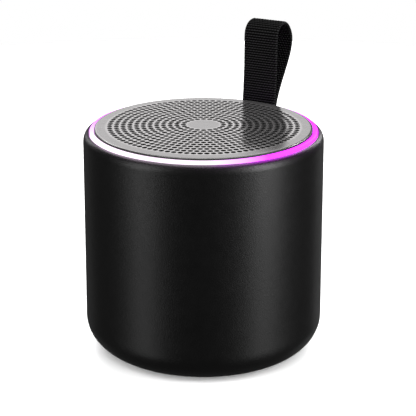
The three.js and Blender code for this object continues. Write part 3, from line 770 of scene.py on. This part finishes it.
# The middle of the webbing in (y, z), in millimetres: up the outer run from where the layers part, over, and
# down the run beside the speaker. It is the same run as the CAD strap's.
STRAP_RUN = [
    (40.63, 71.6), (42.1, 74.6), (44.9, 78.6), (48.7, 83.4), (51.5, 87.8), (52.0, 92.0), (50.1, 95.4),
    (47.0, 97.4), (43.2, 97.1), (40.9, 94.8), (40.5, 90.0), (40.4, 83.0), (40.0, 77.2), (39.55, 71.9),
]
TAB_BEND = Vector((38.88, 67.65))  # where the sewn tab bends over the can's edge
TAB_TOP = (Vector(STRAP_RUN[0]) + Vector(STRAP_RUN[-1])) / 2
TAB_UP = (TAB_TOP - TAB_BEND).normalized()
LAYER_GAP = 0.02
EYE_NECK = (4.1, 0.66)  # where the layers meet above the bar: up from the bar, and out from the middle


def strap_route():
    """The closed middle line of the webbing: both layers of the tab, the eye round the bar, and the loop."""
    bar = Vector((BAR.y, BAR.z)) / MM
    up = (TAB_BEND - bar).normalized()
    side = Vector((-up.y, up.x))  # towards the speaker
    eye_r = BAR_R / MM + 0.1 + WEBBING_T / MM / 2
    layer = WEBBING_T / MM / 2 + LAYER_GAP
    upper_side = Vector((-TAB_UP.y, TAB_UP.x))

    def layer_points(sign):
        """One layer of the tab, from its top down to where it opens into the eye."""
        return [
            TAB_BEND.lerp(TAB_TOP, 0.5) + upper_side * layer * sign,
            TAB_BEND + (side + upper_side) * layer / 2 * sign,
            bar + up * EYE_NECK[0] + side * EYE_NECK[1] * sign,
        ]

    points = [Vector(p) for p in STRAP_RUN] + layer_points(1)
    for degrees in range(100, 261, 40):
        angle = math.radians(degrees)
        points.append(bar + (up * math.cos(angle) + side * math.sin(angle)) * eye_r)
    return points + layer_points(-1)[::-1]


def smooth_closed(points, steps):
    """A closed Catmull-Rom curve through points, spaced evenly along its length."""
    dense = []
    count = len(points)
    for i in range(count):
        a, b, c, d = (points[(i + k) % count] for k in (-1, 0, 1, 2))
        for j in range(24):
            t = j / 24
            square = (2 * a - 5 * b + 4 * c - d) * t**2
            cube = (3 * b - a - 3 * c + d) * t**3
            dense.append(0.5 * (2 * b + (c - a) * t + square + cube))
    lengths = [0.0]
    for a, b in zip(dense, dense[1:] + dense[:1]):
        lengths.append(lengths[-1] + (b - a).length)
    even, k = [], 0
    for i in range(steps):
        wanted = lengths[-1] * i / steps
        while lengths[k + 1] < wanted:
            k += 1
        t = (wanted - lengths[k]) / (lengths[k + 1] - lengths[k])
        even.append(dense[k].lerp(dense[(k + 1) % len(dense)], t))
    return even, lengths[-1]


def strap(material):
    """Webbing with real cross ribs, a groove inside each selvedge and rounded edges."""
    length = smooth_closed(strap_route(), 1)[1]
    ribs = round(length / RIB_PITCH)
    route = smooth_closed(strap_route(), ribs * RIB_STEPS)[0]
    half_w = STRAP_W / MM / 2
    half_t = WEBBING_T / MM / 2
    across = []
    for i in range(WEBBING_COLUMNS + 1):
        v = -1 + 2 * i / WEBBING_COLUMNS
        across.append(math.copysign(abs(v) ** 0.75, v) * half_w)  # closer together near the edges
    loops = []
    count = len(route)
    for k, point in enumerate(route):
        forward = (route[(k + 1) % count] - route[k - 1]).normalized()
        normal = Vector((-forward.y, forward.x))
        rib = abs(math.cos(math.pi * k / RIB_STEPS)) ** 0.7
        loop = []
        for sign in (1, -1):
            for x in across if sign > 0 else reversed(across):
                inset = half_w - abs(x)
                edge = inset / EDGE_ROUND
                fall = math.sqrt(max(0.0, 1 - max(0.0, 1 - edge) ** 2))
                groove = GROOVE_DEPTH * math.exp(-(((inset - GROOVE_INSET) / GROOVE_SPREAD) ** 2))
                weave = WEAVE_DEPTH * math.cos(2 * math.pi * (x / THREAD_PITCH + 0.5 * k / RIB_STEPS))
                relief = RIB_DEPTH * rib + weave * rib - groove
                thick = (half_t - RIB_DEPTH - WEAVE_DEPTH) * fall + relief * min(1.0, edge)
                at = point + normal * sign * max(thick, 0.02)
                loop.append((x * MM, at.x * MM, at.y * MM))
        loops.append(loop)
    verts, faces = stacked([*loops, loops[0]], cap=False)
    piece = make_object("carry_loop", verts, faces, material, sharp=60)
    weave_map(piece, route, RIB_PITCH / RIB_STEPS)
    return finish_piece(piece, "carry_strap", "strap_webbing", "strap")


def weave_map(piece, route, step):
    """A UV map in millimetres: across the webbing, and along it from the start of the route."""
    tree = KDTree(len(route))
    for i, point in enumerate(route):
        tree.insert((0, point.x, point.y), i)
    tree.balance()
    mesh = piece.data
    layer = mesh.uv_layers.new(name="weave")
    whole = len(route) * step
    run = []
    for vertex in mesh.vertices:
        run.append(tree.find((0, vertex.co.y / MM, vertex.co.z / MM))[1] * step)
    for face in mesh.polygons:
        first = run[mesh.loops[face.loop_start].vertex_index]
        for i in face.loop_indices:
            index = mesh.loops[i].vertex_index
            along = run[index]
            if along - first > whole / 2:
                along -= whole
            if first - along > whole / 2:
                along += whole
            layer.data[i].uv = (mesh.vertices[index].co.x / MM, along)


def strap_stitching(material):
    """A bar tack: close zigzag stitches through both layers of the tab, raised on its two faces."""
    half_width, half_height, stitches = 4.6, 0.38, 44
    side = Vector((-TAB_UP.y, TAB_UP.x))
    parts = []
    for share in (0.25, 0.7):
        for sign in (1, -1):
            face = TAB_BEND.lerp(TAB_TOP, share) + side * sign * (WEBBING_T / MM + LAYER_GAP)
            points = []
            for i in range(stitches):
                x = half_width * (2 * i / (stitches - 1) - 1)
                at = face + TAB_UP * (half_height if i % 2 else -half_height)
                points.append(Vector((x, at.x, at.y)) * MM)
            parts.append(thread(points, 0.11 * MM))
    piece = make_object("strap_stitching", *merged(*parts), material, sharp=60)
    return finish_piece(piece, "carry_strap", "strap_webbing")


def thread(points, radius, sides=6):
    """A round thread through points, closed at both ends."""
    loops = []
    for i, p in enumerate(points):
        forward = (points[min(i + 1, len(points) - 1)] - points[max(i - 1, 0)]).normalized()
        a = forward.orthogonal().normalized()
        b = forward.cross(a)
        turn = [2 * math.pi * k / sides for k in range(sides)]
        loops.append([p + (a * math.cos(t) + b * math.sin(t)) * radius for t in turn])
    return stacked(loops)


def strap_bar(material):
    chamfer = 0.15 * MM
    half = BAR_HIGH.x
    profile = [
        (0, -half),
        (BAR_R - chamfer, -half),
        (BAR_R, chamfer - half),
        (BAR_R, half - chamfer),
        (BAR_R - chamfer, half),
        (0, half),
    ]
    verts, faces = turned(profile, 48, closed=False)
    bar = make_object("steel_bar", along(verts, BAR, (1, 0, 0)), faces, material)
    return finish_piece(bar, HOUSING, "steel", "strap_bar")


# ---------------- control panel

BUTTONS = ["power", "volume_down", "play", "volume_up"]


def node_middle(name):
    low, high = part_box(name)
    return (low + high) / 2


def panel_openings():
    """Loop makers for the button holes, the light's hole, the microphone's hole and the socket's slot."""
    makers = [circle((0, node_middle(f"{name}_button").z), BUTTON_HOLE_R, 48) for name in BUTTONS]
    makers.append(circle((0, node_middle("status_lens").z), 0.75 * MM, 24))
    makers.append(circle((0, PANEL_TOP - 1.7 * MM), 0.4 * MM, 16))
    low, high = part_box("usb_port")
    slot_w, slot_h = high.x - low.x + 2 * PANEL_GAP, high.z - low.z + 2 * PANEL_GAP
    makers.append(round_rectangle((0, node_middle("usb_port").z), slot_w, slot_h, slot_h / 2, 10))
    return makers


def control_panel(material):
    """The curved pill-shaped panel with its openings."""
    outline = round_rectangle((0, PANEL_MIDDLE), PANEL_W, PANEL_TOP - PANEL_BOTTOM, PANEL_W / 2, 14)
    makers = panel_openings()
    edge = 0.3 * MM
    lip = 0.18 * MM
    thickness = PANEL_R - PANEL_BACK

    def clear(point, margin, gap):
        """True if a 2-D point is inside the outline by a margin and outside every opening by a gap."""
        return inside(point, outline(-margin)) and not any(inside(point, maker(gap)) for maker in makers)

    def keep(point):
        return clear(point, edge, lip)

    step = 0.9 * MM
    rows = int((PANEL_TOP - PANEL_BOTTOM) / step) + 1
    grid = [(i * step, PANEL_BOTTOM + j * step) for i in range(-7, 8) for j in range(rows)]
    grid = [point for point in grid if clear(point, 0.5 * MM, 0.6 * MM)]
    turns = [math.pi / 2 * i / 4 for i in range(5)]
    rim = [(edge * (math.sin(turn) - 1), edge * (1 - math.cos(turn))) for turn in turns]
    rim.append((0, thickness))
    hole_steps = [*fillet_steps(lip), (0, thickness)]
    face = plate_with_holes(outline, rim, makers, hole_steps, on_body(PANEL_R), keep, grid)
    panel = make_object("rear_panel", *face, material, sharp=40)
    return finish_piece(panel, HOUSING, "black_plastic", "control_panel")


def bar_shape(centre, width, height, turn=0.0):
    """A flat bar with rounded ends, as a loop of 2-D points."""
    loop = round_rectangle((0, 0), width, height, min(width, height) / 2 * 0.98, 4)(0)
    c, s = math.cos(turn), math.sin(turn)
    return [(centre[0] + x * c - y * s, centre[1] + x * s + y * c) for x, y in loop]


def ring_part(radius, width, start, end, steps=24):
    """Part of a flat ring, as a loop of 2-D points, angles in degrees."""
    outer = arc((0, 0), (radius + width / 2, radius + width / 2), start, end, steps)
    inner = arc((0, 0), (radius - width / 2, radius - width / 2), end, start, steps)
    return outer + inner


def icon(name):
    """Generic symbols, seen from outside: loops of 2-D points about the button's centre."""
    stroke = 0.3 * MM
    if name == "power":
        return [ring_part(0.85 * MM, stroke, 125, 415), bar_shape((0, 0.75 * MM), stroke, 1.0 * MM)]
    if name == "volume_down":
        return [bar_shape((0, 0), 1.9 * MM, stroke)]
    if name == "play":
        triangle = [(-1.1 * MM, -0.75 * MM), (0.1 * MM, 0), (-1.1 * MM, 0.75 * MM)]
        return [triangle, *[bar_shape((x, 0), stroke, 1.5 * MM) for x in (0.5 * MM, 1.05 * MM)]]
    plus = 0.95 * MM
    half = stroke / 2
    corner = [(half, -plus), (half, -half), (plus, -half)]
    cross = []
    for _ in range(4):
        cross += corner
        corner = [(-y, x) for x, y in corner]
    return [cross]


def button(name, rubber, print_material):
    """A rubber cap with a rounded edge and a shallow dish, its symbol standing proud in pale print."""
    middle = node_middle(f"{name}_button")
    face_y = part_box(f"{name}_button")[1].y
    depth = face_y - BUTTON_BACK_Y
    round_r = 0.45 * MM
    dish = 0.12 * MM
    profile = [(0, -depth), (BUTTON_R, -depth)]
    profile += arc((BUTTON_R - round_r, -round_r), (round_r, round_r), 0, 90, 6)
    for i in range(1, 9):
        r = (BUTTON_R - round_r) * (1 - i / 8)
        profile.append((r, -dish * (1 - (r / (BUTTON_R - round_r)) ** 2)))
    verts, faces = turned(profile, 64, closed=False)
    cap = make_object(f"{name}_cap", along(verts, (0, face_y, middle.z), (0, 1, 0)), faces, rubber)
    finish_piece(cap, f"{name}_key", "button_rubber", f"{name}_button")

    raised = []
    for loop in icon(name):
        raised.append(stacked([[(-x, face_y + y, middle.z + z) for x, z in loop] for y in SYMBOL_LEVELS]))
    symbol = make_object(f"{name}_symbol", *merged(*raised), print_material, sharp=30)
    finish_piece(symbol, f"{name}_key", "ivory_plastic")


def usb_port(material):
    """The drawn steel sleeve of the charging socket, open at its mouth."""
    low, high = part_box("usb_port")
    middle = (low + high) / 2
    width, height = high.x - low.x, high.z - low.z
    outline = round_rectangle((0, middle.z), width, height, height / 2, 12)
    wall = 0.33 * MM
    lip = 0.1 * MM
    steps = [
        (0, low.y), (0, high.y - lip), (-lip * 0.3, high.y - lip * 0.3), (-lip, high.y),
        (-wall + lip, high.y), (-wall + lip * 0.3, high.y - lip * 0.3), (-wall, high.y - lip),
        (-wall, low.y + 1.2 * MM),
    ]
    loops = [[(u, y, v) for u, v in outline(grow)] for grow, y in steps]
    sleeve = make_object("socket_sleeve", *stacked(loops), material)
    return finish_piece(sleeve, HOUSING, "steel", "usb_port")


def status_lens(material):
    low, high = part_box("status_lens")
    middle = (low + high) / 2
    r = (high.z - low.z) / 2
    length = high.y - low.y
    profile = [(0, -length), (r, -length), *arc((0, -0.35 * MM), (r, 0.35 * MM), 0, 90, 8)]
    verts, faces = turned(profile, 40, closed=False)
    lens = make_object("light_pipe", along(verts, (0, high.y, middle.z), (0, 1, 0)), faces, material)
    return finish_piece(lens, HOUSING, "clear_acrylic", "status_lens")


# ---------------- stage

VIEW_AZIMUTH = 27.5  # degrees right of the speaker's front
VIEW_ELEVATION = 18.85
VIEW_DISTANCE = 570.3 * MM
VIEW_TARGET = Vector((0, 0, 46.75 * MM))
VIEW_LENS = 156.3
VIEW_SHIFT = 0.0107
LAMP_TARGET = (0, 0, 0.04)
FLOOR_R = 0.42
WORLD_FELT = 0.05
WORLD_SEEN = 1.0

# Name, azimuth, height, distance, (width, height), brightness. The backdrops light only the grille plate.
SOFT_BOXES = [
    ("left_low", -58, -0.25, 0.6, (0.22, 0.4), 1.1),
    ("left_high", -58, 0.2, 0.6, (0.22, 0.5), 3.6),
    ("right_low", 58, -0.25, 0.6, (0.22, 0.4), 1.15),
    ("right_high", 58, 0.2, 0.6, (0.22, 0.5), 9.0),
    ("back_left_low", -145, -0.2, 0.6, (0.14, 0.5), 0.1),
    ("back_left_high", -145, 0.3, 0.6, (0.14, 0.4), 2.5),
    ("backdrop_side", -143, 0.32, 0.62, (0.2, 0.4), 0.3),
    ("back_right_low", 145, -0.2, 0.6, (0.14, 0.5), 0.3),
    ("back_right_high", 145, 0.3, 0.6, (0.14, 0.4), 6.0),
    ("backdrop_left", -157, 0.32, 0.6, (0.26, 0.4), 0.74),
    ("backdrop_middle", -178, 0.32, 0.58, (0.25, 0.4), 0.68),
    ("backdrop_turn_1", 124, 0.4, 0.6, (0.3, 0.7), 0.1),
    ("backdrop_turn_2", 85, 0.4, 0.6, (0.5, 0.7), 0.6),
    ("backdrop_turn_3", 30, 0.4, 0.6, (0.5, 0.7), 0.7),
    ("backdrop_turn_4", -25, 0.4, 0.6, (0.5, 0.7), 0.7),
    ("backdrop_turn_5", -80, 0.4, 0.6, (0.5, 0.7), 0.7),
    ("backdrop_turn_6", -116, 0.4, 0.6, (0.26, 0.7), 0.2),
    ("overhead", 180, 0.62, 0.1, (0.5, 0.4), 1.0),
]
FLOOR_LIGHTS = [  # name, azimuth, height, distance, brightness
    ("floor_front", 0, 0.6, 1.04, 9.9),
    ("floor_back", 180, 0.77, 0.92, 8.0),
    ("floor_left", -90, 0.77, 0.92, 0.5),
    ("floor_right", 90, 0.77, 0.92, 0.7),
]
FLOOR_LIGHT_SIZE = (1.0, 1.0)

SPILL_LAMPS = 16
SPILL_GAIN = 2.5  # how much brighter than the ring its small lamps are
SPILL_R = 35 * MM
SPILL_RISE = 9 * MM
SPILL_SIZE = (14 * MM, 9 * MM)


def aim(obj, target):
    obj.rotation_mode = "QUATERNION"
    obj.rotation_quaternion = (Vector(target) - obj.location).to_track_quat("-Z", "Y")


def soft_box(name, azimuth, height, distance, size, brightness):
    """A soft box that faces the body. Azimuth is from the camera's side, and grows to the camera's right."""
    data = bpy.data.lights.new(name, "AREA")
    data.shape = "RECTANGLE"
    data.size, data.size_y = size
    data.energy = math.pi * size[0] * size[1] * brightness
    lamp = linked_object(name, data)
    a = math.radians(VIEW_AZIMUTH + azimuth)
    lamp.location = (distance * math.sin(a), -distance * math.cos(a), height)
    aim(lamp, LAMP_TARGET)
    return lamp


def only_for(lamp, receivers):
    """Makes a lamp light only these objects."""
    group = bpy.data.collections.new(f"lit by {lamp.name}")
    for obj in receivers:
        group.objects.link(obj)
    lamp.light_linking.receiver_collection = group


def floor_material():
    material, _, shader = new_material("pale_floor")
    shader.inputs["Base Color"].default_value = (0.9, 0.9, 0.9, 1)
    shader.inputs["Roughness"].default_value = 1
    shader.inputs["Specular IOR Level"].default_value = 0
    return material


def stage():
    """A round pale floor. It is left out of the speaker's reflections and shadows, and has its own lamps."""
    corners = [(x, y, 0) for x, y in circle((0, 0), FLOOR_R, 64)(0)]
    floor = make_object("floor", corners, [list(range(len(corners)))], floor_material())
    floor.visible_diffuse = False
    floor.visible_glossy = False
    floor.visible_shadow = False
    return floor


def camera():
    data = bpy.data.cameras.new("camera")
    data.sensor_width = 36
    data.lens = VIEW_LENS
    data.shift_x = VIEW_SHIFT
    data.clip_start = 0.01
    cam = linked_object("camera", data)
    a, e = math.radians(VIEW_AZIMUTH), math.radians(VIEW_ELEVATION)
    back = Vector((math.sin(a) * math.cos(e), -math.cos(a) * math.cos(e), math.sin(e)))
    cam.location = VIEW_TARGET + back * VIEW_DISTANCE
    aim(cam, VIEW_TARGET)
    bpy.context.scene.camera = cam


def ring_spill(can):
    """The ring's own light on the shoulder next to it: a ring of small coloured lamps close above."""
    for i in range(SPILL_LAMPS):
        degrees = 360 * i / SPILL_LAMPS - 180
        angle = math.radians(degrees)
        colour = [part * SPILL_GAIN for part in ring_glow(degrees)]
        data = bpy.data.lights.new(f"ring_spill_{i}", "AREA")
        data.shape = "RECTANGLE"
        data.size, data.size_y = SPILL_SIZE
        peak = max(colour)
        data.color = [part / peak for part in colour]
        data.energy = math.pi * SPILL_SIZE[0] * SPILL_SIZE[1] * peak
        lamp = linked_object(data.name, data)
        out = Vector((math.cos(angle), math.sin(angle), 0))
        lamp.location = out * SPILL_R + Vector((0, 0, SHOULDER_TOP + SPILL_RISE))
        aim(lamp, out * BODY_R + Vector((0, 0, SHOULDER_TOP)))
        lamp.visible_camera = False
        only_for(lamp, [can])


def studio(floor, can, plate):
    """White to the camera, dim to the object, with tall soft boxes for the can's vertical highlights."""
    world = bpy.data.worlds.new("studio")
    bpy.context.scene.world = world
    world.use_nodes = True
    tree = world.node_tree
    tree.nodes.clear()
    mix = tree.nodes.new("ShaderNodeMixShader")
    for socket, strength in ((1, WORLD_FELT), (2, WORLD_SEEN)):
        background = tree.nodes.new("ShaderNodeBackground")
        background.inputs["Color"].default_value = (1, 1, 1, 1)
        background.inputs["Strength"].default_value = strength
        link(background.outputs["Background"], mix.inputs[socket])
    path = tree.nodes.new("ShaderNodeLightPath")
    out = tree.nodes.new("ShaderNodeOutputWorld")
    link(path.outputs["Is Camera Ray"], mix.inputs["Fac"])
    link(mix.outputs["Shader"], out.inputs["Surface"])

    for name, azimuth, height, distance, size, brightness in SOFT_BOXES:
        lamp = soft_box(name, azimuth, height, distance, size, brightness)
        if name.startswith("backdrop"):
            only_for(lamp, [plate])
    ring_spill(can)
    for name, azimuth, height, distance, brightness in FLOOR_LIGHTS:
        only_for(soft_box(name, azimuth, height, distance, FLOOR_LIGHT_SIZE, brightness), [floor])
    bpy.context.scene.view_settings.view_transform = "Standard"


# ---------------- CAD nodes that keep their shape


def dress_inside(looks):
    """Gives the nodes inside the can, whose CAD shape stays, their materials."""
    groups = {
        "moulding": ["baffle", "battery_cradle", "amplifier_chip", "usb_tongue"],
        "board": ["main_board", "led_board", "terminal_strip"],
        "steel": ["bluetooth_module", *[f"{name}_switch" for name in BUTTONS]],
        "zinc": ["driver_top_plate", "driver_yoke", "cradle_screw_1", "cradle_screw_2", "board_screw_1",
                 "board_screw_2", *[f"baffle_screw_{i}" for i in (1, 2, 3)],
                 *[f"driver_screw_{i}" for i in (1, 2, 3, 4)]],
        "ivory": ["battery_connector", *[f"{name}_switch_plunger" for name in BUTTONS]],
        "cell": ["battery_cell"],
        "foam": ["battery_pad", "driver_gasket"],
        "driver_paint": ["driver_basket"],
        "ferrite": ["driver_magnet"],
        "coil": ["voice_coil"],
        "paper": ["cone", "dust_cap"],
        "rubber": ["surround"],
        "spider": ["spider"],
        "red": ["battery_lead_positive", "speaker_lead_positive"],
        "black": ["battery_lead_negative", "speaker_lead_negative"],
        "film": ["led_cable"],
    }
    for look, names in groups.items():
        for name in names:
            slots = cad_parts[name].data.materials
            slots.clear()
            slots.append(looks[look])


def inside_looks(moulding, rubber):
    return {
        "moulding": moulding,
        "rubber": rubber,
        "board": circuit_board(),
        "steel": metal("bright_steel", grey(0.5), grey(0.62), (0.22, 0.36)),
        "zinc": metal("zinc_plate", (0.42, 0.43, 0.45), (0.6, 0.6, 0.6), (0.3, 0.5), 1800),
        "ivory": grained("ivory", (0.6, 0.56, 0.45), (0.7, 0.66, 0.55), (0.4, 0.55), 1500, 0.01 * MM),
        "cell": grained("cell_wrap", (0.02, 0.09, 0.3), (0.03, 0.12, 0.38), (0.25, 0.4), 700, 0.03 * MM),
        "foam": grained("foam", grey(0.02), grey(0.05), (0.9, 1.0), 1800, 0.25 * MM),
        "driver_paint": grained("driver_paint", grey(0.01), grey(0.02), (0.35, 0.5), 3000, 0.02 * MM),
        "ferrite": grained("ferrite", grey(0.03), grey(0.06), (0.55, 0.75), 2200, 0.05 * MM),
        "coil": windings("coil_wire", (0.35, 0.12, 0.04), (0.75, 0.32, 0.12), 0.16 * MM, 0.05 * MM, 1.0),
        "paper": grained("cone_paper", grey(0.015), grey(0.04), (0.8, 0.95), 1600, 0.12 * MM),
        "spider": windings("spider_cloth", (0.3, 0.15, 0.03), (0.5, 0.3, 0.08), 1.0 * MM, 0.1 * MM),
        "red": grained("red_lead", (0.45, 0.01, 0.008), (0.55, 0.02, 0.01), (0.35, 0.5), 900, 0.01 * MM),
        "black": grained("black_lead", grey(0.01), grey(0.02), (0.35, 0.5), 900, 0.01 * MM),
        # painted shade for the grille plate's hole walls and rim
        "hole_shade": grained("painted_hole_shade", grey(0.006), grey(0.012), (0.5, 0.7), 3000, 0.01 * MM),
        "lens": grained("lens", grey(0.5), grey(0.6), (0.25, 0.4), 900, 0.01 * MM, Transmission_Weight=0.6),
        "film": grained("amber_film", (0.35, 0.12, 0.015), (0.45, 0.17, 0.02), (0.3, 0.45), 600, 0.01 * MM),
    }


# ---------------- everything


def build():
    paint = body_paint()
    rubber = soft_rubber()
    moulding = black_moulding()
    looks = inside_looks(moulding, rubber)
    outer_shell(paint)
    rubber_foot(rubber)
    light_ring(lit_acrylic())
    grille_plate(brushed_aluminium(), looks["hole_shade"])
    grille_cloth(speaker_cloth())
    cloth = webbing()
    strap(cloth)
    strap_stitching(cloth)
    strap_bar(looks["steel"])
    control_panel(moulding)
    for name in BUTTONS:
        button(name, rubber, looks["ivory"])
    usb_port(looks["steel"])
    status_lens(looks["lens"])
    dress_inside(looks)


camera()
build()
studio(stage(), bpy.data.objects["can"], bpy.data.objects["perforated_plate"])
